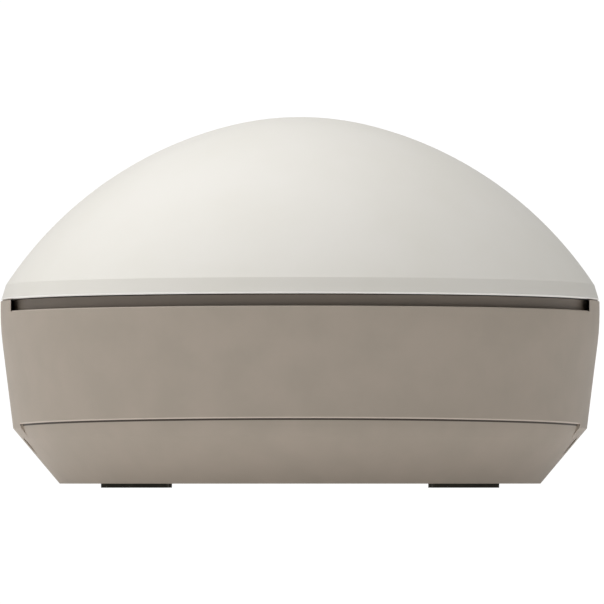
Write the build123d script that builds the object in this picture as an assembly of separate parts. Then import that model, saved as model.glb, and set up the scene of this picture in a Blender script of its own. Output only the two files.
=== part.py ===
from build123d import *
import os
from math import acos, atan2, cos, degrees, hypot, pi, radians, sin, sqrt, tan

# A small ship's radar: a rotating patch array under a two-piece radome. Millimetres, +Z up,
# z = 0 is the plane of the four foot pads, the front faces -Y and the antenna turns about Z.

# Shells
shell_r = 220.0            # widest radius of the base
dome_top = 272.4           # crown of the dome above the mounting plane
dome_edge_z = 137.2        # lower edge of the dome
dome_edge_inset = 0.5      # dome's edge inside the base's widest radius
skirt_h = 11.45            # the curved dome meets its skirt this far above the edge
skirt_lean = 3.3
crown_r = 212.0            # radius of the crown, which ends crown_angle from the axis
crown_angle = 14.0
dome_wall = 3.5
rim_gap = 0.7              # dome edge to the base's rim, closed by the gasket
floor_z = 3.0              # underside of the base, which is also the pads' thickness
band_z = 117.1             # the upright band starts here, above the tapered wall
wall_taper = 7.2           # degrees from upright
knee_z = 43.5              # where the tapered wall meets the slope
slope_angle = 49.9         # degrees from level
wall_blend_r = 190.0       # taper into the upright band
base_wall = 4.0
edge_break = 0.8           # small 45 degree edges
over = 1.0                 # cuts run this far past a face

# Finger groove under the dome, and the shallow step low on the base, both front and back
groove_h = 8.7
groove_depth = 6.0
groove_half_w = 210.2      # its ends are straight walls
step_depth = 1.5
step_top_z = 49.2          # at the middle of the front
step_bow = 3.0             # how much lower the step's edge is at its ends
step_half_angle = 74.6
step_blend_r = 24.0
step_edge_r = 1.2          # rounding of the step's upper edge
step_margin = 8.0          # the step's cutter reaches this far past it

# Rim flange, gasket and the four dome bolts in the side pillars
flange_w = 16.0
flange_below_groove = 5.0
dome_flange_h = 4.0
gasket_inset = 12.0        # gasket's middle to the widest radius
gasket_w = 4.0
gasket_seat = 2.5
dome_bolt_inset = 20.5     # bolt's axis to the widest radius
dome_bolt_angle = 9.0      # either side of +X and -X
dome_bolt_r = 2.5
dome_bolt_head_r = 4.5
dome_bolt_head_h = 5.0
dome_bolt_seat = 24.5      # head seat below the base's rim
dome_bolt_bite = 10.0      # thread inside the insert
dome_boss_r = 7.0
dome_boss_h = 16.0
dome_insert_r = 3.5
dome_insert_h = 12.0
base_boss_r = 8.0
access_r = 5.2
bolt_seal_t = 1.0

# Screws: sizes of a cap screw's head, of its shank's radius
head_share = 1.8
hex_floor_share = 0.8
screw_slack = 0.25         # hole over the shank's radius
small_slack = 0.2

# Mounting: four blind inserts in the floor and four pads
mount_x = 116.5
mount_y = 70.75
mount_r = 4.0
mount_insert_r = 7.0
mount_insert_h = 19.0
mount_boss_r = 12.0
mount_boss_h = 18.0
mount_skin = 2.0           # closed end of the insert
pad_x = 119.8
pad_w = 48.4
pad_d = 38.0
pad_corner_r = 5.0

# Cable recess at the back, with its sockets, vent and earth stud
recess_half_w = 52.0
recess_depth = 28.6        # behind the flat underside's edge
recess_h = 33.0
recess_corner_r = 6.0
socket_x = 22.0
socket_z = 20.0
socket_r = 8.0
socket_flange_r = 12.0
socket_flange_t = 3.0
socket_out = 16.0
socket_in = 11.0
socket_bore_r = 6.5
socket_nut_af = 22.0
socket_nut_t = 4.0
seal_t = 1.0
contact_r = 0.8
contact_back = 2.0         # contacts stand out behind the socket
contact_short = 4.0        # and end this far inside its mouth
power_contacts = (3, 3.0)  # number and circle
network_contacts = (8, 4.0)
vent_z = 25.0
vent_r = 3.0
vent_stem = 3.0            # behind the wall
vent_cap_r = 6.0
vent_cap_t = 2.5
vent_hole_r = 1.0
vent_skin = 1.0
earth_x = 42.0
earth_z = 15.0
earth_r = 3.0
earth_out = 14.0
earth_back = 2.0
earth_collar_r = 5.5
earth_collar_t = 1.5
earth_nut_af = 10.0
earth_nut_t = 3.0
washer_r = 6.0
washer_t = 1.0

# Chassis
post_circle_r = 130.0
post_r = 7.0
post_thread = 12.0
screw_r = 2.0              # M4
small_screw_r = 1.5        # M3
chassis_screw_l = 12.0
chassis_z = 57.0
chassis_t = 3.0
chassis_r = 142.0
board_t = 1.6
board_lift = 9.0           # board above the floor
standoff_h = 5.0
standoff_af = 6.0
board_boss_r = 4.0
board_thread = 4.0
board_screw_l = 10.0
board_w = 84.0
board_d = 96.0
board_inset = 5.0          # screw to board edge
board_x = 57.0
plug_x = 36.0
plug = (12.0, 10.0, 8.0)   # width, depth and height, as for the next pieces
motor_plug = (10.0, 10.0, 8.0)
capacitor_r = 8.0
capacitor_h = 18.0
capacitor_pitch = 22.0
capacitor_y = -26.0
transformer = (36.0, 26.0, 14.0)
transformer_y = 5.0
heat_sink = (10.0, 4.0, 15.0)
heat_sink_y = 28.0
heat_sink_places = (-24.0, -8.0, 8.0)
processor = (28.0, 28.0, 2.5)
processor_y = -20.0
memory_chip = (12.0, 8.0, 1.2)
memory_x = 28.0
memory_places = (-30.0, -18.0, -6.0)
can_start = -34.0          # from the board's middle
can_gap = 9.6              # to the motor's plug
can_y = (2.0, 36.0)
can_h = 6.0
can_t = 0.6
lead_r = 2.0
lead_bend = 0.45           # an arc's reach along the shorter of its two runs
motor_lead_hole_r = 3.5
coax_r = 1.8
coax_hole_r = 4.8
coax_drop = 20.0           # below the chassis plate's top

# Shaft, bearings and gears
shaft_r = 12.5
shaft_bore_r = 7.0
shaft_end = 3.0            # below the lower bearing
shaft_shoulder = 2.5
ring_slot_t = 1.2          # the retaining ring and its groove
ring_slot_depth = 1.0
ring_proud = 2.0
ring_opening = 6.0
bearing_r = 23.5
bearing_w = 12.0
ball_share = 0.29          # ball radius, and the rings' thickness, of the space from shaft to seat
ring_share = 0.318
ball_count = 9
ball_clearance = 0.05
bearing_gap = 10.0         # shoulder between the two bearings
bearing_shoulder = 2.0
bearing_lift = 6.0         # lower bearing above the chassis plate
pedestal_wall = 4.5
pedestal_flange_r = 40.0
pedestal_flange_t = 5.0
pedestal_screw_inset = 6.0
pedestal_screw_l = 8.0
gear_module = 1.5
gear_teeth = 72
pinion_teeth = 18
pressure_angle = 20.0
dedendum = 1.25            # of the module
gear_w = 6.0
gear_lift = 4.0            # gear above the pedestal, room for its screws
gear_rim = 7.125           # root of the teeth to the lightening holes
gear_hole_r = 7.0
magnet_angle = 210.0
magnet_r = 2.5
magnet_h = 3.0
sensor_post_gap = 12.0     # post's axis outside the pedestal's flange
sensor_post_w = 16.0
sensor_post_d = 8.0
sensor_drop = 4.0          # post's top below the gear
sensor_board_t = 1.0
hall_chip = 4.0
hall_chip_t = 1.5
backlash = 0.30            # taken from each gear's teeth, at the pitch circle
centre_extra = 0.10
gear_seat_r = 14.0
hub_flange_r = 28.0
hub_flange_t = 4.0
hub_screw_circle_r = 21.0  # gear screws
gear_screw_l = 9.0
bracket_screw_l = 8.0
bracket_screw_circle_r = 18.0
bracket_screw_angles = (15, 165, 195, 345)

# Motor
motor_r = 19.0
motor_h = 36.0
motor_flange_r = 26.0
motor_flange_t = 3.0
motor_flange_gap = 1.5     # at least this to the pedestal's flange
motor_screw_l = 6.0
motor_shaft_r = 2.5
motor_shaft_rise = 3.0     # above the gear
motor_floor = 6.0
bush_r = 4.0
bush_w = 6.0
end_play = 0.5
pinion_extra = 1.0         # pinion wider than the gear
pinion_hub_r = 7.0
pinion_hub_h = 4.0
running = 0.05             # radial clearance of a running fit

# Antenna
array_clear = 8.0          # array's corner to the inside of the dome
array_h = 52.0
array_d = 34.0
channel_t = 2.5
bracket_half = 58.0
bracket_d = 44.0
bracket_t = 4.0
array_screw_inset = 13.0   # the heads pass inside the motor's pinion
array_board_short = 3.0    # at each end
array_board_back = 4.0     # behind the cover
patch_columns = 22
patch_margin = 8.0
patch_t = 0.5
patch_rise = 11.8          # each row above or below the middle
patch = 9.0
cover_t = 1.5
stator_r = 8.0             # rotary joint in the shaft's bore
stator_drop = 24.0
stator_flange_r = 11.0
stator_flange_rise = 2.0
stator_pin_r = 3.0
rotor_bore_r = 3.3
rotor_drop = 14.0
rotor_rise = 6.0

# Transceiver
rf_half_w = 54.0
rf_d = 66.0
rf_h = 27.0
rf_wall = 3.0
lid_t = 2.5
rf_gap = 10.0              # pedestal flange to the box
rf_screw_inset = 6.0
rf_boss_r = 4.5
rf_screw_l = 8.0
rf_board_inset = (12.0, 4.0)

# Heights and places that follow from the sizes above
outside = shell_r + 10.0
dome_edge_r = shell_r - dome_edge_inset
crease_r = dome_edge_r - skirt_lean
crease_z = dome_edge_z + skirt_h
slope = radians(slope_angle)
taper = radians(wall_taper)
knee_r = shell_r - (band_z - knee_z) * tan(taper)
base_flat_r = knee_r - (knee_z - floor_z) / tan(slope)
flange_r = shell_r - flange_w
gasket_r = shell_r - gasket_inset
dome_bolt_circle_r = shell_r - dome_bolt_inset
recess_y = base_flat_r - recess_depth
socket_back = recess_y - base_wall - socket_in
contact_end = socket_back - contact_back
insert_out = socket_out / 3
ball_r = ball_share * (bearing_r - shaft_r)
ring_t = ring_share * (bearing_r - shaft_r)
gear_hole_circle_r = gear_module * (gear_teeth / 2 - dedendum) - gear_rim - gear_hole_r
sensor_post_r = pedestal_flange_r + sensor_post_gap
pedestal_screw_circle_r = pedestal_flange_r - pedestal_screw_inset
rim_z = dome_edge_z - rim_gap
groove_z = dome_edge_z - groove_h
flange_z = groove_z - flange_below_groove
inner_floor_z = floor_z + base_wall
plate_top = chassis_z + chassis_t
lower_bearing_z = plate_top + bearing_lift
upper_bearing_z = lower_bearing_z + bearing_w + bearing_gap
pedestal_top = upper_bearing_z + bearing_w
gear_z = pedestal_top + gear_lift
hub_z = gear_z + gear_w
bracket_z = hub_z + hub_flange_t
array_z = bracket_z + bracket_t
board_z = inner_floor_z + board_lift
board_top = board_z + board_t
motor_x = gear_module * (gear_teeth + pinion_teeth) / 2 + centre_extra
bolt_head_top = rim_z - dome_bolt_seat
recess_inner_y = recess_y - base_wall
recess_top = floor_z + recess_h
rf_y = -(pedestal_flange_r + rf_gap)
coax_y = rf_y - rf_d / 3
sensor_z = gear_z - sensor_drop
array_board_y = cover_t + array_board_back - array_d / 2
screw_quarters = range(0, 360, 90)
pedestal_screw_angles = range(30, 360, 60)


def rod(radius, low, high, x=0.0, y=0.0):
    return Pos(x, y, (low + high) / 2) * Cylinder(radius, high - low)


def ring(outer, inner, low, high, x=0.0, y=0.0):
    return rod(outer, low, high, x, y) - rod(inner, low - over, high + over, x, y)


def block(x, y, z):
    """A box from three (low, high) pairs."""
    middle = [(low + high) / 2 for low, high in (x, y, z)]
    return Pos(*middle) * Box(x[1] - x[0], y[1] - y[0], z[1] - z[0])


def along_y(shape, x, z, y=0.0):
    """Turns a shape made along +Z to point along +Y, with its zero at y."""
    return Pos(x, y, z) * Rot(-90, 0, 0) * shape


def rz(r, z):
    return Vector(r, 0, z)


def turned(*edges):
    return revolve(make_face(Wire(edges)), Axis.Z)


def outline(*points):
    return Polyline(*[rz(*p) for p in points], close=True).edges()


def spots(radius, angles):
    return [(radius * cos(radians(a)), radius * sin(radians(a))) for a in angles]


def corners(x, y, middle=0.0):
    return [(middle + i * x, j * y) for i in (-1, 1) for j in (-1, 1)]


def nut_blank(across, height):
    return extrude(RegularPolygon(across / 2, 6, major_radius=False), height)


def cap_screw(radius, length, x, y, seat_z, up=False):
    """A socket-head screw whose head sits on seat_z; its shank points down, or up."""
    head = head_share * radius
    screw = rod(head, 0, head) + rod(radius, -length, 0)
    screw -= Pos(0, 0, hex_floor_share * radius) * extrude(RegularPolygon(radius, 6), head)
    return Pos(x, y, seat_z) * (Rot(180, 0, 0) * screw if up else screw)


# Dome profile: crown and flank are two arcs that meet smoothly
def dome_arcs():
    """Centres of the crown and flank arcs, and the flank's radius."""
    turn = radians(crown_angle)
    crown = rz(0, dome_top - crown_r)
    way = rz(sin(turn), cos(turn))
    reach = rz(crease_r, crease_z) - crown
    flank_r = (reach - way * crown_r).length ** 2 / (2 * (crown_r - reach.dot(way)))
    return crown, crown - way * (flank_r - crown_r), flank_r, way


def dome_line(inset):
    """The crown and flank arcs, moved inwards by inset, and the end of the flank."""
    crown, flank, flank_r, way = dome_arcs()
    half_way = rz(sin(radians(crown_angle / 2)), cos(radians(crown_angle / 2)))
    end_way = (rz(crease_r, crease_z) - flank).normalized()
    mid_way = (way + end_way).normalized()
    join = crown + way * (crown_r - inset)
    end = flank + end_way * (flank_r - inset)
    top = rz(0, dome_top - inset)
    arcs = [
        ThreePointArc(top, crown + half_way * (crown_r - inset), join),
        ThreePointArc(join, flank + mid_way * (flank_r - inset), end),
    ]
    return arcs, top, end


def dome_inner_r(z):
    """Radius of the flank's inside at a height."""
    flank, flank_r = dome_arcs()[1:3]
    return flank.X + sqrt((flank_r - dome_wall) ** 2 - (z - flank.Z) ** 2)


def skirt_r(z):
    return dome_edge_r + (crease_r - dome_edge_r) * (z - dome_edge_z) / (crease_z - dome_edge_z)


def dome_envelope():
    arcs, top, end = dome_line(0)
    rest = Polyline(end, rz(dome_edge_r, dome_edge_z + edge_break),
                    rz(dome_edge_r - edge_break, dome_edge_z), rz(0, dome_edge_z), top)
    return turned(*arcs, *rest.edges())


def dome_bolt_spots():
    return spots(dome_bolt_circle_r, [side + turn for side in (0, 180)
                                      for turn in (-dome_bolt_angle, dome_bolt_angle)])


def wall_boss(radius, x, y, low, high):
    """A boss that a web of its own width joins to the wall outside it."""
    turn = degrees(atan2(y, x))
    middle = hypot(x, y)
    web = block((middle, shell_r), (-radius, radius), (low, high))
    return Rot(0, 0, turn) * (rod(radius, low, high, middle) + web)


def upper_radome():
    arcs, top, end = dome_line(dome_wall)
    ledge = dome_edge_z + dome_flange_h
    rest = Polyline(end, rz(skirt_r(ledge) - dome_wall, ledge), rz(flange_r, ledge),
                    rz(flange_r, dome_edge_z - over), rz(0, dome_edge_z - over), top)
    envelope = dome_envelope()
    shell = envelope - turned(*arcs, *rest.edges())
    for x, y in dome_bolt_spots():
        boss = wall_boss(dome_boss_r, x, y, dome_edge_z, dome_edge_z + dome_boss_h)
        shell += boss & envelope
        shell -= rod(dome_insert_r, dome_edge_z - over, dome_edge_z + dome_insert_h, x, y)
    return shell


def radome_inserts():
    top = dome_edge_z + dome_insert_h
    return [ring(dome_insert_r, dome_bolt_r, dome_edge_z, top, x, y) for x, y in dome_bolt_spots()]


def radome_bolts():
    bolts = []
    under_head = bolt_head_top - bolt_seal_t
    low = under_head - dome_bolt_head_h
    for x, y in dome_bolt_spots():
        bolt = rod(dome_bolt_head_r, low, under_head, x, y)
        bolt += rod(dome_bolt_r, under_head, dome_edge_z + dome_bolt_bite, x, y)
        socket = extrude(RegularPolygon(dome_bolt_r, 6), dome_bolt_r)
        bolts.append(bolt - Pos(x, y, low) * socket)
    return bolts


def radome_bolt_seals():
    low = bolt_head_top - bolt_seal_t
    return [ring(dome_bolt_head_r, dome_bolt_r, low, bolt_head_top, x, y) for x, y in dome_bolt_spots()]


# Base profile
def crossing(flat_r, flat_z, wall_r):
    """Where the slope through (flat_r, flat_z) meets the tapered wall that is wall_r at knee_z."""
    z = (flat_r - flat_z / tan(slope) - wall_r + tan(taper) * knee_z) / (tan(taper) - 1 / tan(slope))
    return wall_r + tan(taper) * (z - knee_z), z


def base_line(inset, top):
    """Points of the base's outline, moved inwards by inset and closed on the axis at top."""
    flat_r = base_flat_r - inset * tan(slope / 2)
    flat_z = floor_z + inset
    knee = crossing(flat_r, flat_z, knee_r - inset / cos(taper))
    band_r = shell_r - inset
    band = (band_r, knee[1] + (band_r - knee[0]) / tan(taper))
    return [(0, flat_z), (flat_r, flat_z), knee, band, (band_r, top), (0, top)]


def base_solid(inset, top):
    face = make_face(outline(*base_line(inset, top)))
    band = base_line(inset, top)[3]
    vertex = face.vertices().sort_by_distance(rz(*band))[0]
    face = fillet(vertex, wall_blend_r - inset)
    return revolve(face, Axis.Z)


def groove_cutter():
    """The finger groove at the front: straight end walls, and its lower edge broken."""
    floor_r = shell_r - groove_depth
    low = groove_z - 2 * edge_break
    high = rim_z + over
    face = make_face(outline((floor_r, high), (floor_r, groove_z), (shell_r - edge_break, groove_z),
                             (shell_r + edge_break, low), (outside, low), (outside, high)))
    front = Rot(0, 0, 180) * revolve(face, Axis.Z, 180)
    return front & block((-groove_half_w, groove_half_w), (-outside, 0), (low, high))


def step_cutter():
    """The shallow step at the front: it starts at a straight tilted edge and fades into the slope."""
    # The step's wall is moved in, the slope below it isn't
    corner = crossing(base_flat_r, floor_z, knee_r - step_depth / cos(taper))
    run = step_blend_r * tan((pi / 2 - slope - taper) / 2)
    start = rz(corner[0] + run * sin(taper), corner[1] + run * cos(taper))
    end = rz(corner[0] - run * cos(slope), corner[1] - run * sin(slope))
    above = step_top_z + step_margin
    high = rz(corner[0] + tan(taper) * (above - corner[1]), above)
    upper = Line(high, start)
    blend = TangentArc(start, end, tangent=start - high)
    rest = Polyline(end, rz(outside, end.Z - step_margin), rz(outside, above), high)
    face = make_face(Wire([upper, blend, *rest.edges()]))
    cutter = Rot(0, 0, -90 - step_half_angle) * revolve(face, Axis.Z, 2 * step_half_angle)
    fall = step_bow / (knee_r * (1 - cos(radians(step_half_angle))))
    lid = Plane(origin=(0, -knee_r, step_top_z), z_dir=(0, fall, 1))
    return split(cutter, bisect_by=lid, keep=Keep.BOTTOM)


def step_edges(shell):
    """The outer of the two long tilted edges of each step, front and back."""
    tilted = shell.edges().filter_by(GeomType.ELLIPSE)
    long_ones = tilted.filter_by(lambda e: e.length > shell_r)
    return long_ones.sort_by(lambda e: e.bounding_box().size.X)[-2:]


def base_housing():
    outer = base_solid(0, rim_z)
    shell = outer - base_solid(base_wall, rim_z + over)
    shell += ring(shell_r - base_wall, flange_r, flange_z, rim_z)
    recess = block((-recess_half_w - base_wall, recess_half_w + base_wall), (recess_inner_y, shell_r),
                   (floor_z, recess_top + base_wall))
    shell += recess & outer
    for x, y in dome_bolt_spots():
        shell += wall_boss(base_boss_r, x, y, inner_floor_z, rim_z) & outer
    for x, y in corners(mount_x, mount_y):
        shell += rod(mount_boss_r, floor_z, inner_floor_z + mount_boss_h, x, y)
        shell -= rod(mount_insert_r, 0, floor_z + mount_insert_h, x, y)
    for x, y in spots(post_circle_r, screw_quarters):
        shell += rod(post_r, floor_z, chassis_z, x, y)
        shell -= rod(screw_r, chassis_z - post_thread, chassis_z + over, x, y)
    for x, y in board_screw_spots():
        boss_top = board_z - standoff_h
        shell += rod(board_boss_r, floor_z, boss_top, x, y)
        shell -= rod(small_screw_r, boss_top - board_thread, boss_top + over, x, y)
    shell -= ring(gasket_r + gasket_w / 2, gasket_r - gasket_w / 2, rim_z - gasket_seat, rim_z + over)
    for x, y in dome_bolt_spots():
        shell -= rod(access_r, 0, bolt_head_top, x, y)
        shell -= rod(dome_bolt_r + screw_slack, 0, rim_z + over, x, y)
    pocket = block((-recess_half_w, recess_half_w), (recess_y, outside), (0, recess_top))
    edges = pocket.edges().filter_by(Axis.Y).group_by(Axis.Z)[-1]
    shell -= fillet(edges, recess_corner_r)
    for x in (-socket_x, socket_x):
        shell -= along_y(Cylinder(socket_r, 3 * base_wall), x, socket_z, recess_y)
    shell -= along_y(Cylinder(vent_r, 3 * base_wall), 0, vent_z, recess_y)
    shell -= along_y(Cylinder(earth_r, 3 * base_wall), earth_x, earth_z, recess_y)
    for turn in (0, 180):
        shell -= Rot(0, 0, turn) * groove_cutter()
        shell -= Rot(0, 0, turn) * step_cutter()
    return fillet(step_edges(shell), step_edge_r)


def radome_gasket():
    return ring(gasket_r + gasket_w / 2, gasket_r - gasket_w / 2, rim_z - gasket_seat, dome_edge_z)


def mount_inserts():
    top = floor_z + mount_insert_h
    return [rod(mount_insert_r, floor_z, top, x, y) - rod(mount_r, 0, top - mount_skin, x, y)
            for x, y in corners(mount_x, mount_y)]


def foot_pads():
    pads = []
    for x, y in corners(pad_x, mount_y):
        pad = extrude(RectangleRounded(pad_w, pad_d, pad_corner_r), floor_z)
        hole_x = mount_x if x > 0 else -mount_x
        pads.append(Pos(x, y, 0) * pad - rod(mount_r, -over, floor_z + over, hole_x, y))
    return pads


# Cable recess
def socket_shell(x):
    start = recess_y + seal_t
    flange = start + socket_flange_t
    mouth = recess_y + socket_out
    body = ring(socket_r, socket_bore_r, socket_back, mouth)
    body += ring(socket_flange_r, socket_bore_r, start, flange)
    return along_y(body, x, socket_z)


def contact_spots(contacts, circle):
    return spots(circle, [360 * i / contacts for i in range(contacts)])


def socket_insert(x, contacts, circle):
    body = rod(socket_bore_r, socket_back, recess_y + insert_out)
    for spot in contact_spots(contacts, circle):
        body -= rod(contact_r, 0, recess_y + socket_out, *spot)
    return along_y(body, x, socket_z)


def socket_contacts(x, contacts, circle):
    tip = recess_y + socket_out - contact_short
    return [along_y(rod(contact_r, contact_end, tip, *spot), x, socket_z)
            for spot in contact_spots(contacts, circle)]


def socket_nuts():
    nut = nut_blank(socket_nut_af, socket_nut_t) - rod(socket_r, -over, socket_nut_t + over)
    return [along_y(nut, x, socket_z, recess_inner_y - socket_nut_t) for x in (-socket_x, socket_x)]


def socket_seals():
    return [along_y(ring(socket_flange_r, socket_r, 0, seal_t), x, socket_z, recess_y)
            for x in (-socket_x, socket_x)]


def breather_vent():
    low = -base_wall - vent_stem
    body = rod(vent_cap_r, 0, vent_cap_t) + rod(vent_r, low, 0)
    return along_y(body - rod(vent_hole_r, low - over, vent_cap_t - vent_skin), 0, vent_z, recess_y)


def earth_stud():
    body = rod(earth_r, -base_wall - earth_back, earth_out) + rod(earth_collar_r, 0, earth_collar_t)
    return along_y(body, earth_x, earth_z, recess_y)


def earth_nuts():
    nut = nut_blank(earth_nut_af, earth_nut_t) - rod(earth_r, -over, earth_nut_t + over)
    washer = ring(washer_r, earth_r, 0, washer_t)
    seat = recess_y + earth_collar_t
    return [along_y(washer, earth_x, earth_z, seat), along_y(nut, earth_x, earth_z, seat + washer_t)]


# Chassis and boards
def board_screw_spots():
    half_x = board_w / 2 - board_inset
    half_y = board_d / 2 - board_inset
    return [spot for side in (-board_x, board_x) for spot in corners(half_x, half_y, side)]


def chassis_plate():
    plate = rod(chassis_r, chassis_z, plate_top)
    holes = [(screw_r + screw_slack, spot) for spot in spots(post_circle_r, screw_quarters)]
    holes += [(screw_r, spot) for spot in spots(pedestal_screw_circle_r, pedestal_screw_angles)]
    holes += [(small_screw_r, spot) for spot in motor_screw_spots()]
    holes += [(shaft_r, (0, 0)), (motor_lead_hole_r, (motor_x, 0)), (coax_hole_r, (0, coax_y))]
    for radius, spot in holes:
        plate -= rod(radius, chassis_z - over, plate_top + over, *spot)
    return plate


def chassis_screws():
    return [cap_screw(screw_r, chassis_screw_l, x, y, plate_top)
            for x, y in spots(post_circle_r, screw_quarters)]


def circuit_board(x):
    board = block((x - board_w / 2, x + board_w / 2), (-board_d / 2, board_d / 2), (board_z, board_top))
    for spot in board_screw_spots():
        board -= rod(small_screw_r, board_z - over, board_top + over, *spot)
    return board


def board_standoffs():
    spacer = nut_blank(standoff_af, standoff_h) - rod(small_screw_r, -over, standoff_h + over)
    return [Pos(x, y, board_z - standoff_h) * spacer for x, y in board_screw_spots()]


def board_screws():
    return [cap_screw(small_screw_r, board_screw_l, x, y, board_top) for x, y in board_screw_spots()]


def on_board(x, y, size):
    """A block of (width, depth, height) that stands on a board, its middle at x, y."""
    w, d, h = size
    return block((x - w / 2, x + w / 2), (y - d / 2, y + d / 2), (board_top, board_top + h))


def power_components():
    """Three capacitors, the transformer and the heat sinks of the power board."""
    parts = [rod(capacitor_r, board_top, board_top + capacitor_h, i * capacitor_pitch - board_x, capacitor_y)
             for i in (-1, 0, 1)]
    parts.append(on_board(-board_x, transformer_y, transformer))
    return parts + [on_board(dx - board_x, heat_sink_y, heat_sink) for dx in heat_sink_places]


def processor_chips():
    parts = [on_board(board_x, processor_y, processor)]
    return parts + [on_board(board_x + memory_x, y, memory_chip) for y in memory_places]


def shield_can():
    """A folded can over the radio chips, beside the motor's plug."""
    left = board_x + can_start
    right = motor_x - motor_plug[0] / 2 - can_gap
    can = block((left, right), can_y, (board_top, board_top + can_h))
    return can - block((left + can_t, right - can_t), (can_y[0] + can_t, can_y[1] - can_t),
                       (board_top - over, board_top + can_h - can_t))


def board_plugs():
    """Lead plugs on the two boards' back edges and under the motor."""
    y = (board_d - plug[1]) / 2
    return [on_board(-plug_x, y, plug), on_board(plug_x, y, plug), on_board(motor_x, 0, motor_plug)]


def lead(points, radius):
    """A tube of straight runs and tangent arcs, each arc as large as its two runs allow."""
    points = [Vector(*p) for p in points]
    runs = [b - a for a, b in zip(points, points[1:])]
    radii = []
    for before, after in zip(runs, runs[1:]):
        half_turn = radians(before.get_angle(after)) / 2
        radii.append(lead_bend * min(before.length, after.length) / tan(half_turn))
    path = FilletPolyline(*points, radius=radii) if radii else Line(*points)
    return sweep(Plane(points[0], z_dir=runs[0]) * Circle(radius), path=path)


def board_lead(side):
    """From the back of a socket to its board's plug."""
    x, to_x = side * socket_x, side * plug_x
    end = board_d / 2
    z = board_top + plug[2] / 2
    third = (contact_end - end) / 3
    return lead([(x, contact_end, socket_z), (x, contact_end - third, socket_z),
                 (to_x, end + third, z), (to_x, end, z)], lead_r)


def motor_lead():
    return rod(lead_r, board_top + motor_plug[2], plate_top, motor_x)


def coax_lead():
    z = plate_top - coax_drop
    return lead([(0, -stator_r, z), (0, coax_y, z), (0, coax_y, plate_top)], coax_r)


# Shaft and bearings
def bearing_pedestal():
    body = rod(bearing_r + pedestal_wall, plate_top, pedestal_top)
    body += rod(pedestal_flange_r, plate_top, plate_top + pedestal_flange_t)
    body -= rod(motor_flange_r + motor_flange_gap, plate_top - over, pedestal_top, motor_x)
    body -= rod(bearing_r, upper_bearing_z, pedestal_top + over)
    body -= rod(bearing_r - bearing_shoulder, plate_top - over, pedestal_top)
    body -= rod(bearing_r, plate_top - over, lower_bearing_z + bearing_w)
    for x, y in spots(pedestal_screw_circle_r, pedestal_screw_angles):
        body -= rod(screw_r + screw_slack, plate_top - over, pedestal_top, x, y)
    return body


def pedestal_screws():
    seat = plate_top + pedestal_flange_t
    return [cap_screw(screw_r, pedestal_screw_l, x, y, seat)
            for x, y in spots(pedestal_screw_circle_r, pedestal_screw_angles)]


def bearing_ring(inner, outer, z):
    race = Torus((shaft_r + bearing_r) / 2, ball_r + ball_clearance)
    return ring(outer, inner, z, z + bearing_w) - Pos(0, 0, z + bearing_w / 2) * race


def bearing_inner_rings():
    return [bearing_ring(shaft_r, shaft_r + ring_t, z) for z in (lower_bearing_z, upper_bearing_z)]


def bearing_outer_rings():
    return [bearing_ring(bearing_r - ring_t, bearing_r, z) for z in (lower_bearing_z, upper_bearing_z)]


def bearing_balls():
    angles = [360 * i / ball_count for i in range(ball_count)]
    return [Pos(x, y, z + bearing_w / 2) * Sphere(ball_r) for z in (lower_bearing_z, upper_bearing_z)
            for x, y in spots((shaft_r + bearing_r) / 2, angles)]


def antenna_shaft():
    body = rod(shaft_r, lower_bearing_z - shaft_end, gear_z)
    body += rod(shaft_r + shaft_shoulder, pedestal_top, gear_z)
    body += rod(gear_seat_r, gear_z, hub_z) + rod(hub_flange_r, hub_z, bracket_z)
    body -= rod(shaft_bore_r, 0, bracket_z + over)
    body -= ring(shaft_r + over, shaft_r - ring_slot_depth, lower_bearing_z - ring_slot_t, lower_bearing_z)
    for x, y in spots(bracket_screw_circle_r, bracket_screw_angles):
        body -= rod(screw_r, hub_z - over, bracket_z + over, x, y)
    for x, y in spots(hub_screw_circle_r, screw_quarters):
        body -= rod(small_screw_r, hub_z - over, bracket_z + over, x, y)
    return body


def retaining_ring():
    outer = shaft_r + ring_proud
    body = ring(outer, shaft_r - ring_slot_depth, lower_bearing_z - ring_slot_t, lower_bearing_z)
    return body - block((0, outer + over), (-ring_opening / 2, ring_opening / 2), (0, lower_bearing_z + over))


# Gears
def gear_blank(teeth, width, first_angle):
    """Involute teeth; each flank is one arc through three points of its involute."""
    pitch_r = gear_module * teeth / 2
    base_r = pitch_r * cos(radians(pressure_angle))
    tip_r = pitch_r + gear_module
    root_r = pitch_r - dedendum * gear_module
    half_tooth = (pi * gear_module / 2 - backlash / 2) / (2 * pitch_r)

    def unroll(radius):
        part = acos(min(1.0, base_r / radius))
        return tan(part) - part

    def flank_angle(radius):
        return half_tooth + unroll(pitch_r) - unroll(radius)

    low_r = max(root_r, base_r)
    flank = [(r, flank_angle(r)) for r in (low_r, (low_r + tip_r) / 2, tip_r)]
    edges = []
    for i in range(teeth):
        middle = radians(first_angle) + 2 * pi * i / teeth

        def at(radius, angle):
            return Vector(radius * cos(middle + angle), radius * sin(middle + angle), 0)

        rise = [at(r, -a) for r, a in flank]
        fall = [at(r, a) for r, a in reversed(flank)]
        root_start = at(root_r, -flank[0][1])
        root_end = at(root_r, flank[0][1])
        next_root = at(root_r, 2 * pi / teeth - flank[0][1])
        if root_r < base_r:
            edges += [Line(root_start, rise[0]), Line(fall[2], root_end)]
        edges.append(ThreePointArc(*rise))
        edges.append(ThreePointArc(rise[2], at(tip_r, 0), fall[0]))
        edges.append(ThreePointArc(*fall))
        edges.append(ThreePointArc(root_end, at(root_r, pi / teeth), next_root))
    return extrude(make_face(Wire(edges)), width)


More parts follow.
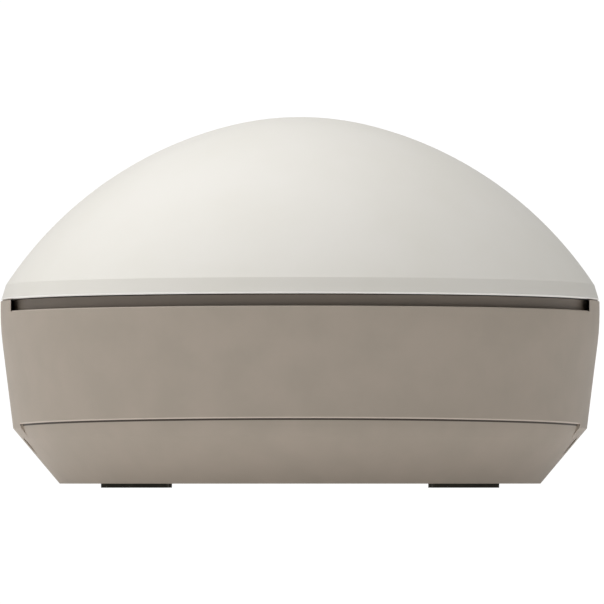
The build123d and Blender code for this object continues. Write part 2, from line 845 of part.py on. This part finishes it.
def main_gear():
    body = Pos(0, 0, gear_z) * gear_blank(gear_teeth, gear_w, 0)
    body -= rod(gear_seat_r, gear_z - over, hub_z + over)
    for x, y in spots(hub_screw_circle_r, screw_quarters):
        body -= rod(small_screw_r + small_slack, gear_z - over, hub_z + over, x, y)
    for x, y in spots(gear_hole_circle_r, range(0, 360, 60)):
        body -= rod(gear_hole_r, gear_z - over, hub_z + over, x, y)
    return body - home_magnet()


def gear_screws():
    return [cap_screw(small_screw_r, gear_screw_l, x, y, gear_z, up=True)
            for x, y in spots(hub_screw_circle_r, screw_quarters)]


def home_magnet():
    return rod(magnet_r, gear_z, gear_z + magnet_h, *magnet_spot())


def magnet_spot():
    return spots(gear_hole_circle_r, [magnet_angle])[0]


def sensor_post():
    x, y = spots(sensor_post_r, [magnet_angle])[0]
    half_w, half_d = sensor_post_w / 2, sensor_post_d / 2
    return block((x - half_w, x + half_w), (y - half_d, y + half_d), (plate_top, sensor_z))


def home_sensor():
    """A small board on the post, with its Hall chip under the magnet's path."""
    x, y = spots(sensor_post_r, [magnet_angle])[0]
    chip_x, chip_y = magnet_spot()
    half = hall_chip / 2
    top = sensor_z + sensor_board_t
    board = block((x - sensor_post_w / 2, chip_x + hall_chip), (y - sensor_post_d / 2, chip_y + hall_chip),
                  (sensor_z, top))
    return [board, block((chip_x - half, chip_x + half), (chip_y - half, chip_y + half),
                         (top, top + hall_chip_t))]


# Motor
def motor_screw_spots():
    return [(motor_x + x, y) for x, y in spots((motor_r + motor_flange_r) / 2, range(45, 360, 90))]


def drive_motor():
    body = rod(motor_r, plate_top, plate_top + motor_h, motor_x)
    body += rod(motor_flange_r, plate_top, plate_top + motor_flange_t, motor_x)
    body -= rod(bush_r, plate_top + motor_floor, plate_top + motor_h + over, motor_x)
    for x, y in motor_screw_spots():
        body -= rod(small_screw_r + small_slack, plate_top - over, plate_top + motor_flange_t + over, x, y)
    return body


def motor_screws():
    seat = plate_top + motor_flange_t
    return [cap_screw(small_screw_r, motor_screw_l, x, y, seat) for x, y in motor_screw_spots()]


def motor_bushes():
    places = (plate_top + motor_floor, plate_top + motor_h - bush_w)
    return [ring(bush_r, motor_shaft_r + running, z, z + bush_w, motor_x) for z in places]


def motor_shaft():
    return rod(motor_shaft_r, plate_top + motor_floor + end_play, hub_z + motor_shaft_rise, motor_x)


def motor_pinion():
    blank = gear_blank(pinion_teeth, gear_w + pinion_extra, 180 + 180 / pinion_teeth)
    body = Pos(motor_x, 0, gear_z - pinion_extra / 2) * blank
    body += rod(pinion_hub_r, gear_z - pinion_hub_h, gear_z, motor_x)
    return body - rod(motor_shaft_r, 0, hub_z + pinion_extra, motor_x)


# Antenna
def array_half():
    """Half the array's length: its corners clear the dome and the rim's flange."""
    reach = min(dome_inner_r(array_z + array_h), flange_r) - array_clear
    return sqrt(reach ** 2 - (array_d / 2) ** 2)


def antenna_bracket():
    body = block((-bracket_half, bracket_half), (-bracket_d / 2, bracket_d / 2), (bracket_z, array_z))
    body -= rod(shaft_bore_r, 0, array_z + over)
    for x, y in spots(bracket_screw_circle_r, bracket_screw_angles) + array_screw_spots():
        body -= rod(screw_r + screw_slack, 0, array_z + over, x, y)
    return body


def array_screw_spots():
    return corners(bracket_half - array_screw_inset, array_d / 4)


def bracket_screws():
    return [cap_screw(screw_r, bracket_screw_l, x, y, array_z)
            for x, y in spots(bracket_screw_circle_r, bracket_screw_angles)]


def array_channel():
    """A folded channel, open to the front, with room in its floor for the bracket's screws."""
    half = array_half()
    top = array_z + array_h
    body = block((-half, half), (-array_d / 2, array_d / 2), (array_z, top))
    body -= block((-half - over, half + over), (-array_d / 2 - over, array_d / 2 - channel_t),
                  (array_z + channel_t, top - channel_t))
    holes = [(screw_r, spot) for spot in array_screw_spots()]
    holes += [(2 * screw_r, spot) for spot in spots(bracket_screw_circle_r, bracket_screw_angles)]
    holes.append((shaft_bore_r, (0, 0)))
    for radius, spot in holes:
        body -= rod(radius, array_z - over, array_z + channel_t + over, *spot)
    return body


def array_screws():
    return [cap_screw(screw_r, bracket_t + channel_t, x, y, bracket_z, up=True)
            for x, y in array_screw_spots()]


def array_board():
    half = array_half() - array_board_short
    return block((-half, half), (array_board_y, array_board_y + board_t),
                 (array_z + channel_t, array_z + array_h - channel_t))


def array_patches():
    """Two rows of etched patches on the board's front."""
    pitch = 2 * (array_half() - patch_margin) / patch_columns
    middle = array_z + array_h / 2
    half = patch / 2
    columns = [pitch * (i - (patch_columns - 1) / 2) for i in range(patch_columns)]
    return [block((x - half, x + half), (array_board_y - patch_t, array_board_y), (z - half, z + half))
            for x in columns for z in (middle - patch_rise, middle + patch_rise)]


def array_cover():
    half = array_half()
    front = -array_d / 2
    return block((-half, half), (front, front + cover_t),
                 (array_z + channel_t, array_z + array_h - channel_t))


def rotary_joint_stator():
    body = rod(stator_r, plate_top - stator_drop, chassis_z)
    body += rod(stator_flange_r, chassis_z, plate_top + stator_flange_rise)
    return body + rod(stator_pin_r, plate_top, hub_z)


def rotary_joint_rotor():
    body = ring(shaft_bore_r, rotor_bore_r, hub_z - rotor_drop, bracket_z)
    return body + rod(shaft_bore_r, bracket_z, array_z + rotor_rise)


# Transceiver
def rf_outline():
    return (-rf_half_w, rf_half_w), (rf_y - rf_d, rf_y)


def rf_screw_spots():
    places = corners(rf_half_w - rf_screw_inset, rf_d / 2 - rf_screw_inset)
    return [(x, y + rf_y - rf_d / 2) for x, y in places]


def transceiver_box():
    x, y = rf_outline()
    top = plate_top + rf_h
    outer = block(x, y, (plate_top, top))
    body = outer - block((x[0] + rf_wall, x[1] - rf_wall), (y[0] + rf_wall, y[1] - rf_wall),
                         (plate_top + rf_wall, top + over))
    for spot in rf_screw_spots():
        body += rod(rf_boss_r, plate_top, top, *spot) & outer
        body -= rod(small_screw_r, top - rf_screw_l, top + over, *spot)
    return body


def transceiver_lid():
    low = plate_top + rf_h
    lid = block(*rf_outline(), (low, low + lid_t))
    for spot in rf_screw_spots():
        lid -= rod(small_screw_r + small_slack, low - over, low + lid_t + over, *spot)
    return lid


def transceiver_screws():
    return [cap_screw(small_screw_r, rf_screw_l, x, y, plate_top + rf_h + lid_t) for x, y in rf_screw_spots()]


def transceiver_board():
    x, y = rf_outline()
    in_x, in_y = rf_board_inset
    z = plate_top + rf_wall
    return block((x[0] + in_x, x[1] - in_x), (y[0] + in_y, y[1] - in_y), (z, z + board_t))


nodes = {
    "upper_radome": upper_radome(),
    "base_housing": base_housing(),
    "radome_gasket": radome_gasket(),
    "radome_bolts": radome_bolts(),
    "radome_bolt_seals": radome_bolt_seals(),
    "radome_inserts": radome_inserts(),
    "foot_pads": foot_pads(),
    "mount_inserts": mount_inserts(),
    "power_socket": socket_shell(-socket_x),
    "power_socket_insert": socket_insert(-socket_x, *power_contacts),
    "network_socket": socket_shell(socket_x),
    "network_socket_insert": socket_insert(socket_x, *network_contacts),
    "socket_contacts": (socket_contacts(-socket_x, *power_contacts)
                        + socket_contacts(socket_x, *network_contacts)),
    "socket_nuts": socket_nuts(),
    "socket_seals": socket_seals(),
    "breather_vent": breather_vent(),
    "earth_stud": earth_stud(),
    "earth_nuts": earth_nuts(),
    "chassis_plate": chassis_plate(),
    "chassis_screws": chassis_screws() + pedestal_screws(),
    "power_board": circuit_board(-board_x),
    "power_components": power_components(),
    "processor_board": circuit_board(board_x),
    "processor_chips": processor_chips(),
    "shield_can": shield_can(),
    "board_standoffs": board_standoffs(),
    "board_screws": board_screws(),
    "board_plugs": board_plugs(),
    "power_lead": board_lead(-1),
    "network_lead": board_lead(1),
    "motor_lead": motor_lead(),
    "coax_lead": coax_lead(),
    "bearing_pedestal": bearing_pedestal(),
    "bearing_outer_rings": bearing_outer_rings(),
    "bearing_inner_rings": bearing_inner_rings(),
    "bearing_balls": bearing_balls(),
    "antenna_shaft": antenna_shaft(),
    "retaining_ring": retaining_ring(),
    "main_gear": main_gear(),
    "gear_screws": gear_screws(),
    "home_magnet": home_magnet(),
    "sensor_post": sensor_post(),
    "home_sensor": home_sensor(),
    "drive_motor": drive_motor(),
    "motor_screws": motor_screws(),
    "motor_bushes": motor_bushes(),
    "motor_shaft": motor_shaft(),
    "motor_pinion": motor_pinion(),
    "rotary_joint_stator": rotary_joint_stator(),
    "rotary_joint_rotor": rotary_joint_rotor(),
    "antenna_bracket": antenna_bracket(),
    "antenna_screws": bracket_screws() + array_screws(),
    "array_channel": array_channel(),
    "array_board": array_board(),
    "array_patches": array_patches(),
    "array_cover": array_cover(),
    "transceiver_box": transceiver_box(),
    "transceiver_lid": transceiver_lid(),
    "transceiver_screws": transceiver_screws(),
    "transceiver_board": transceiver_board(),
}

os.makedirs("parts", exist_ok=True)
for name, shape in nodes.items():
    whole = Compound(children=[Part(s.wrapped) for s in shape]) if isinstance(shape, list) else shape
    export_step(whole, f"parts/{name}.step")
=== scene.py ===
import math

import bmesh
import bpy
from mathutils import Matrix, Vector


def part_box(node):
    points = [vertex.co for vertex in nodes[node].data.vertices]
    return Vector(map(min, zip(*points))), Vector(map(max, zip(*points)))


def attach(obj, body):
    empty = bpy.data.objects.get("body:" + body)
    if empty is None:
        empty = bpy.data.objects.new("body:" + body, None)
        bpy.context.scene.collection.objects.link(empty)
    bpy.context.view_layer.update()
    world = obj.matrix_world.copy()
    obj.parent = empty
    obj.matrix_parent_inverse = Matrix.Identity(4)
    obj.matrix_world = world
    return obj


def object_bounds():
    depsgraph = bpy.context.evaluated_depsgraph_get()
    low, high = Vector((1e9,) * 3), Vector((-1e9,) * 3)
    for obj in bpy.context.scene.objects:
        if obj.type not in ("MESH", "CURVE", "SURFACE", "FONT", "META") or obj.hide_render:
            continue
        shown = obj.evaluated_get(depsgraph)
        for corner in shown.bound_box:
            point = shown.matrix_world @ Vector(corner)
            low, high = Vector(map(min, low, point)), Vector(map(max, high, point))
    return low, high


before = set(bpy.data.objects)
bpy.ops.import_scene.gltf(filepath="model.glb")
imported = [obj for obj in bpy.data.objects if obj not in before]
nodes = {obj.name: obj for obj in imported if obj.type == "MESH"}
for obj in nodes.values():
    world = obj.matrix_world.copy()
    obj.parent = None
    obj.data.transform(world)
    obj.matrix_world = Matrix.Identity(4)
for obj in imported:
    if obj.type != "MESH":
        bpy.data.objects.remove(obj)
cad_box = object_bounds()
low, high = cad_box
centre_x = (low[0] + high[0]) / 2
width = high[0] - low[0]
height = high[2] - low[2]

# Camera: far off behind a long lens and almost at floor level, so the underside stays hidden
# and the seams bow only a little.
camera_back = 5.39
camera_height = 0.0015
filled_share = 0.991
frame_width = width / filled_share
aim_shift = 0.00136
aim_share = 0.5011
aim = Vector((centre_x + aim_shift, 0.0, aim_share * height))
camera_data = bpy.data.cameras.new("camera")
camera_data.sensor_width = 36.0
camera_data.lens = camera_data.sensor_width * camera_back / frame_width
camera_data.clip_start = 0.01
camera_data.clip_end = 100.0
camera = bpy.data.objects.new("camera", camera_data)
camera.location = (centre_x, -camera_back, camera_height)
camera.rotation_euler = (aim - camera.location).to_track_quat("-Z", "Y").to_euler()
bpy.context.scene.collection.objects.link(camera)
bpy.context.scene.camera = camera
bpy.context.scene.view_settings.view_transform = "Standard"


# Light: a white room, lit from above and from the left, with the side towards the front left dark.
# Each glow is a broad soft box: the way it lies, how narrow it is, and its strength.
# The room itself is seen as plain white, brighter than the light that it gives.
def linear(hex_colour):
    """An sRGB hex colour as linear red, green, blue and alpha."""
    parts = [int(hex_colour[i:i + 2], 16) / 255 for i in (1, 3, 5)]
    return [c / 12.92 if c <= 0.04045 else ((c + 0.055) / 1.055) ** 2.4 for c in parts] + [1.0]


def add_node(tree, kind, settings=None, links=None, **values):
    """Adds a node, sets its properties and input values, and links (socket: (node, output))."""
    node = tree.nodes.new(kind)
    for name, value in (settings or {}).items():
        setattr(node, name, value)
    for name, value in values.items():
        node.inputs[name.replace("_", " ")].default_value = value
    for name, (source, output) in (links or {}).items():
        tree.links.new(source.outputs[output], node.inputs[name])
    return node


def add_maths(tree, operation, first, second):
    """A sum on two inputs, each a number or a (node, output)."""
    node = add_node(tree, "ShaderNodeMath", {"operation": operation})
    for i, value in enumerate((first, second)):
        if isinstance(value, tuple):
            tree.links.new(value[0].outputs[value[1]], node.inputs[i])
        else:
            node.inputs[i].default_value = value
    return node


glows = [
    ((0.0, 0.0, 1.0), 2.0, 0.55),
    ((0.0, 0.0, 1.0), 8.0, 1.55),
    ((-0.56, 0.32, 0.77), 6.0, 1.45),
    ((-0.56, -0.32, 0.77), 6.0, 0.8),
    ((0.3, 1.0, 0.1), 4.0, 0.25),
]
room_fill = 0.02
burnt_out_strength = 1.05
room = bpy.data.worlds.new("white_room")
room.use_nodes = True
tree = room.node_tree
tree.nodes.clear()
way = add_node(tree, "ShaderNodeTexCoord")
total = room_fill
for direction, narrowness, strength in glows:
    facing = add_node(tree, "ShaderNodeVectorMath", {"operation": "DOT_PRODUCT"})
    tree.links.new(way.outputs["Generated"], facing.inputs[0])
    facing.inputs[1].default_value = Vector(direction).normalized()
    lobe = add_maths(tree, "MAXIMUM", (facing, "Value"), 0.0)
    lobe = add_maths(tree, "POWER", (lobe, 0), narrowness)
    lobe = add_maths(tree, "MULTIPLY", (lobe, 0), strength)
    total = (add_maths(tree, "ADD", (lobe, 0), total), 0)
lit = add_node(tree, "ShaderNodeBackground", links={"Strength": total})
backdrop = add_node(tree, "ShaderNodeBackground", Strength=burnt_out_strength)
for background in (lit, backdrop):
    background.inputs["Color"].default_value = linear("#FFFFFF")
ray = add_node(tree, "ShaderNodeLightPath")
mix = add_node(tree, "ShaderNodeMixShader", links={"Fac": (ray, "Is Camera Ray")})
tree.links.new(lit.outputs[0], mix.inputs[1])
tree.links.new(backdrop.outputs[0], mix.inputs[2])
add_node(tree, "ShaderNodeOutputWorld", links={"Surface": (mix, 0)})
bpy.context.scene.world = room


# Floor: matt white paper, seen burnt out to plain white with no shadow on it.
# It sends a weaker light back up to the slope and the underside.
floor_reach = 40.0
floor_glow = 0.38
floor_mesh = bpy.data.meshes.new("floor")
floor_corners = ((-1, -1), (1, -1), (1, 1), (-1, 1))
floor_mesh.from_pydata([(x * floor_reach, y * floor_reach, 0.0) for x, y in floor_corners],
                       [], [(0, 1, 2, 3)])
floor = bpy.data.objects.new("floor", floor_mesh)
bpy.context.scene.collection.objects.link(floor)
paper = bpy.data.materials.new("matt_white_paper")
paper.use_nodes = True
tree = paper.node_tree
tree.nodes.clear()
sheet = add_node(tree, "ShaderNodeBsdfPrincipled", Roughness=0.9, Emission_Strength=floor_glow)
sheet.inputs["Base Color"].default_value = linear("#CBCAC8")
sheet.inputs["Emission Color"].default_value = linear("#FFFFFF")
burnt_out = add_node(tree, "ShaderNodeEmission", Strength=burnt_out_strength)
burnt_out.inputs["Color"].default_value = linear("#FFFFFF")
ray = add_node(tree, "ShaderNodeLightPath")
mix = add_node(tree, "ShaderNodeMixShader", links={"Fac": (ray, "Is Camera Ray")})
tree.links.new(sheet.outputs[0], mix.inputs[1])
tree.links.new(burnt_out.outputs[0], mix.inputs[2])
add_node(tree, "ShaderNodeOutputMaterial", links={"Surface": (mix, 0)})
floor_mesh.materials.append(paper)


# Foot pads, seals and gasket: black EPDM rubber, moulded, the pads glued under the base.
# Matt and slightly brown, with a fine mould grain.
patch_stops = (0.35, 0.65)


def surface(name, colours, patch_mm, grain_mm, grain_deep_mm, roughness,
            metallic=0.0, along=(1, 1, 1)):
    """A finish in two near colours, patches and grain of real sizes; along stretches the grain."""
    material = bpy.data.materials.new(name)
    material.use_nodes = True
    tree = material.node_tree
    tree.nodes.clear()
    shader = add_node(tree, "ShaderNodeBsdfPrincipled", Roughness=roughness, Metallic=metallic)
    add_node(tree, "ShaderNodeOutputMaterial", links={"Surface": (shader, 0)})
    place = add_node(tree, "ShaderNodeTexCoord")
    patches = add_node(tree, "ShaderNodeTexNoise", links={"Vector": (place, "Object")},
                       Scale=1000 / patch_mm, Detail=3.0)
    ramp = add_node(tree, "ShaderNodeValToRGB", links={"Fac": (patches, 0)})
    for stop, position, colour in zip(ramp.color_ramp.elements, patch_stops, colours):
        stop.position = position
        stop.color = linear(colour)
    tree.links.new(ramp.outputs["Color"], shader.inputs["Base Color"])
    stretched = add_node(tree, "ShaderNodeMapping", links={"Vector": (place, "Object")}, Scale=along)
    grain = add_node(tree, "ShaderNodeTexNoise", links={"Vector": (stretched, 0)},
                     Scale=1000 / grain_mm, Detail=2.0)
    bump = add_node(tree, "ShaderNodeBump", links={"Height": (grain, 0)},
                    Strength=1.0, Distance=grain_deep_mm / 1000)
    tree.links.new(bump.outputs["Normal"], shader.inputs["Normal"])
    return material, tree, shader, ramp


def put_on(material, *names):
    """Gives CAD pieces their finish."""
    for name in names:
        nodes[name].data.materials.clear()
        nodes[name].data.materials.append(material)


rubber = surface("moulded_epdm_rubber", ("#2A2922", "#37352D"), 6.0, 0.8, 0.04, 0.8)[0]
put_on(rubber, "foot_pads", "radome_gasket", "radome_bolt_seals", "socket_seals")


# Base: one aluminium casting in a warm grey polyester powder coat, baked on.
# Satin, with a faint orange-peel texture. A painted highlight lightens the edge above the step,
# and painted shade darkens the finger groove and the corner under the step.
def colour_where(tree, mask, colour_from, hex_colour):
    """Turns a colour towards another where a mask is 1; gives the (node, output) to link."""
    blend = add_node(tree, "ShaderNodeMix", {"data_type": "RGBA"})
    tree.links.new(mask.outputs[0], blend.inputs["Factor"])
    tree.links.new(colour_from[0].outputs[colour_from[1]], blend.inputs[6])
    blend.inputs[7].default_value = linear(hex_colour)
    return blend, 2


def between(tree, value, start, end, soft):
    """A mask that is 1 where a value lies between two limits, with soft ends."""
    up = add_node(tree, "ShaderNodeMapRange", {"interpolation_type": "SMOOTHSTEP"}, {"Value": value},
                  From_Min=start - soft, From_Max=start + soft)
    down = add_node(tree, "ShaderNodeMapRange", {"interpolation_type": "SMOOTHSTEP"}, {"Value": value},
                    From_Min=end - soft, From_Max=end + soft, To_Min=1.0, To_Max=0.0)
    return add_maths(tree, "MULTIPLY", (up, 0), (down, 0))


groove_skin = 0.2197
groove_floor = 0.2145
groove_low = 0.1285
step_edge_z = 0.0492
step_fall = 0.01939
step_radius = 0.2107
step_end_y = 0.0559
line_h = 0.0013
line_soft = 0.0002
# Where the painted highlight above the step's edge starts and ends, and how soft it is.
highlight_low = 0.0001
highlight_high = 0.0009
highlight_soft = 0.0003
# Painted shade in the groove, and the colours of the painted shade and the painted highlight.
groove_shade_strength = 0.6
painted_shade_colour = "#3B3129"
painted_highlight_colour = "#D2C5B9"
powder_coat, tree, shader, ramp = surface("baked_powder_coat", ("#ABA093", "#B0A497"),
                                          30.0, 1.4, 0.012, 0.55)
place = add_node(tree, "ShaderNodeTexCoord")
spot = add_node(tree, "ShaderNodeSeparateXYZ", links={"Vector": (place, "Object")})
flat = add_node(tree, "ShaderNodeCombineXYZ", links={"X": (spot, "X"), "Y": (spot, "Y")})
radius = add_node(tree, "ShaderNodeVectorMath", {"operation": "LENGTH"}, {"Vector": (flat, 0)})
# Painted shade: the groove floor is darkened more the deeper it lies.
groove_shade_by_depth = add_node(tree, "ShaderNodeMapRange", {"interpolation_type": "SMOOTHSTEP"},
                 {"Value": (radius, "Value")},
                 From_Min=groove_skin, From_Max=groove_floor, To_Min=0.0, To_Max=groove_shade_strength)
above = add_maths(tree, "GREATER_THAN", (spot, "Z"), groove_low - line_h)
groove_shade_mask = add_maths(tree, "MULTIPLY", (groove_shade_by_depth, 0), (above, 0))
out_y = add_maths(tree, "ABSOLUTE", (spot, "Y"), 0.0)
inward = add_maths(tree, "SUBTRACT", step_radius, (out_y, 0))
fall = add_maths(tree, "MULTIPLY", (inward, 0), step_fall)
over_step = add_maths(tree, "ADD", (spot, "Z"), (fall, 0))
on_step = add_maths(tree, "GREATER_THAN", (out_y, 0), step_end_y)
# Painted shadow: a dark band just under the step's edge.
step_shadow_mask = between(tree, (over_step, 0), step_edge_z - line_h, step_edge_z, line_soft)
step_shadow_mask = add_maths(tree, "MULTIPLY", (step_shadow_mask, 0), (on_step, 0))
# Painted highlight: a pale band just above the step's edge.
step_highlight_mask = between(tree, (over_step, 0), step_edge_z + highlight_low, step_edge_z + highlight_high, highlight_soft)
step_highlight_mask = add_maths(tree, "MULTIPLY", (step_highlight_mask, 0), (on_step, 0))
colour = colour_where(tree, groove_shade_mask, (ramp, "Color"), painted_shade_colour)
colour = colour_where(tree, step_highlight_mask, colour, painted_highlight_colour)
colour = colour_where(tree, step_shadow_mask, colour, painted_shade_colour)
tree.links.new(colour[0].outputs[colour[1]], shader.inputs["Base Color"])
put_on(powder_coat, "base_housing")


# Dome: one white ASA moulding, held by four screws from below.
# A smooth satin skin with the faint waviness of a large moulding, and a painted highlight along the lip.
lip_z = 0.1372
lip_h = 0.0012
# The colour of the painted highlight on the lip.
lip_highlight_colour = "#FFFDF9"
moulded_asa, tree, shader, ramp = surface("moulded_white_asa", ("#E7E4DC", "#E9E6DF"),
                                          60.0, 3.0, 0.004, 0.42)
place = add_node(tree, "ShaderNodeTexCoord")
spot = add_node(tree, "ShaderNodeSeparateXYZ", links={"Vector": (place, "Object")})
# Painted highlight: a pale band round the dome's lower edge.
lip_highlight_mask = between(tree, (spot, "Z"), lip_z, lip_z + lip_h, line_soft)
colour = colour_where(tree, lip_highlight_mask, (ramp, "Color"), lip_highlight_colour)
tree.links.new(colour[0].outputs[colour[1]], shader.inputs["Base Color"])
put_on(moulded_asa, "upper_radome")


# Screws, studs and inserts: A4 stainless steel, cold headed and rolled.
# A soft grey shine, drawn out along the shank.
stainless = surface("cold_rolled_stainless", ("#8F8E8B", "#A3A19D"),
                    2.0, 0.5, 0.006, 0.3, 1.0, (1, 1, 6))[0]
put_on(stainless, "radome_bolts", "mount_inserts", "earth_stud", "earth_nuts", "chassis_screws",
       "board_screws", "gear_screws", "motor_screws", "antenna_screws", "transceiver_screws")

# Brass fittings: inserts, contacts, standoffs, bushes and pinion, turned from bar.
# Left bright, so they are warm in colour, with fine turning lines.
bar_brass = surface("turned_brass", ("#B08D4E", "#C4A162"), 3.0, 0.4, 0.006, 0.28, 1.0, (1, 1, 5))[0]
put_on(bar_brass, "radome_inserts", "socket_contacts", "board_standoffs", "motor_bushes",
       "motor_pinion", "rotary_joint_stator", "rotary_joint_rotor")

# Sockets and their nuts: turned brass with dull nickel plate, screwed through the recess wall.
# The plate hides the brass and takes off most of the shine.
nickel = surface("dull_nickel_plate", ("#A8A49A", "#BAB6AC"), 4.0, 0.5, 0.005, 0.33, 1.0)[0]
put_on(nickel, "power_socket", "network_socket", "socket_nuts")


# Threads: one ridge is rolled round each socket's barrel and round the earth stud.
# It stands on the plain stock and fades out at both ends.
# The sockets' pitch is coarser than a fine connector thread, so that it shows.
def rolled_thread(name, centre_x, centre_z, radius, start, end, pitch, finish):
    """A screw thread's ridge round an axis along Y, from start to end, standing on its stock."""
    turns = (end - start) / pitch - 1
    per_turn = 40
    fades_per_turn = 4
    steps = round(turns * per_turn)
    foot, crest = radius - 0.04 * pitch, radius + 0.3 * pitch
    foot_half_w, crest_half_w = 0.42, 0.07
    profile = ((foot, -foot_half_w), (crest, -crest_half_w), (crest, crest_half_w), (foot, foot_half_w))
    shape = bmesh.new()
    rows = []
    for i in range(steps + 1):
        turn = 2 * math.pi * i / per_turn
        along = start + pitch * (0.5 + i / per_turn)
        fade = min(1.0, fades_per_turn * i / per_turn, fades_per_turn * (steps - i) / per_turn)
        row = []
        for r, w in profile:
            out = foot + (r - foot) * fade
            row.append(shape.verts.new((centre_x + out * math.cos(turn), along + w * pitch,
                                        centre_z + out * math.sin(turn))))
        rows.append(row)
    for before, after in zip(rows, rows[1:]):
        for j in range(len(profile)):
            k = (j + 1) % len(profile)
            shape.faces.new((before[j], before[k], after[k], after[j]))
    shape.faces.new(rows[0])
    shape.faces.new(reversed(rows[-1]))
    bmesh.ops.recalc_face_normals(shape, faces=shape.faces)
    mesh = bpy.data.meshes.new(name)
    shape.to_mesh(mesh)
    shape.free()
    mesh.materials.append(finish)
    piece = bpy.data.objects.new(name, mesh)
    bpy.context.scene.collection.objects.link(piece)
    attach(piece, "base")


socket_flange = 0.004
socket_thread_pitch = 0.0015
socket_radius = 0.008
for name in ("power_socket", "network_socket"):
    near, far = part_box(name)
    wall_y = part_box("socket_seals")[0].y
    rolled_thread(name + "_thread", (near.x + far.x) / 2, (near.z + far.z) / 2, socket_radius,
                  wall_y + socket_flange, far.y, socket_thread_pitch, nickel)
stud_radius = 0.003
stud_pitch = 0.001
near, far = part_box("earth_stud")
rolled_thread("earth_stud_thread", (near.x + far.x) / 2, (near.z + far.z) / 2, stud_radius,
              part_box("earth_nuts")[1].y, far.y, stud_pitch, stainless)

# Socket inserts, vent, chips and post: black glass-filled nylon or epoxy, moulded.
# Dry and nearly matt, with a fine grain.
nylon = surface("moulded_black_nylon", ("#19191A", "#222223"), 3.0, 0.5, 0.02, 0.55)[0]
put_on(nylon, "power_socket_insert", "network_socket_insert", "breather_vent", "power_components",
       "processor_chips", "sensor_post")

# Plugs, main gear and the array's cover: natural acetal and nylon, moulded or cut.
# Milky white with a faint gloss.
acetal = surface("natural_acetal", ("#DAD7CB", "#E6E3D9"), 8.0, 0.8, 0.01, 0.4)[0]
put_on(acetal, "board_plugs", "main_gear", "array_cover")

# Chassis, bracket, channel, boxes and shaft: aluminium sheet and bar, folded or turned.
# Bare metal with a soft shine and a mottled grain, only slightly drawn out.
brushed = surface("brushed_aluminium", ("#B4B6B8", "#C4C6C8"), 5.0, 0.5, 0.01, 0.38, 1.0, (1, 12, 12))[0]
put_on(brushed, "chassis_plate", "shield_can", "bearing_pedestal", "antenna_shaft", "antenna_bracket",
       "array_channel", "transceiver_box", "transceiver_lid")

# Circuit boards: glass laminate under a green solder mask.
# Glossy, darker and lighter where there is copper below.
laminate = surface("solder_masked_laminate", ("#17502C", "#256B3E"), 4.0, 0.4, 0.01, 0.3)[0]
put_on(laminate, "power_board", "processor_board", "home_sensor", "array_board", "transceiver_board")

# Patches: copper foil, etched to shape on the array's board and lacquered.
# Pink and even, with a clean shine.
etched = surface("etched_copper", ("#B56C45", "#C87E58"), 3.0, 0.4, 0.004, 0.3, 1.0)[0]
put_on(etched, "array_patches")

# Bearings, retaining ring, magnet and motor shaft: hardened steel, ground and polished.
# Almost a mirror.
ground_steel = surface("ground_bearing_steel", ("#9C9C9A", "#ABABA9"), 4.0, 0.3, 0.001, 0.15, 1.0)[0]
put_on(ground_steel, "bearing_outer_rings", "bearing_inner_rings", "bearing_balls", "retaining_ring",
       "home_magnet", "motor_shaft")

# Motor: a drawn steel can in black stoved enamel.
# Half glossy, with a slight orange peel.
enamel = surface("stoved_black_enamel", ("#17171A", "#1F1F22"), 6.0, 0.9, 0.01, 0.35)[0]
put_on(enamel, "drive_motor")

# Leads: copper wires in extruded PVC jackets, run between the boards.
# Dark grey and slightly waxy.
jacket = surface("extruded_pvc_jacket", ("#353536", "#3F3F40"), 4.0, 0.6, 0.02, 0.5)[0]
put_on(jacket, "power_lead", "network_lead", "motor_lead", "coax_lead")
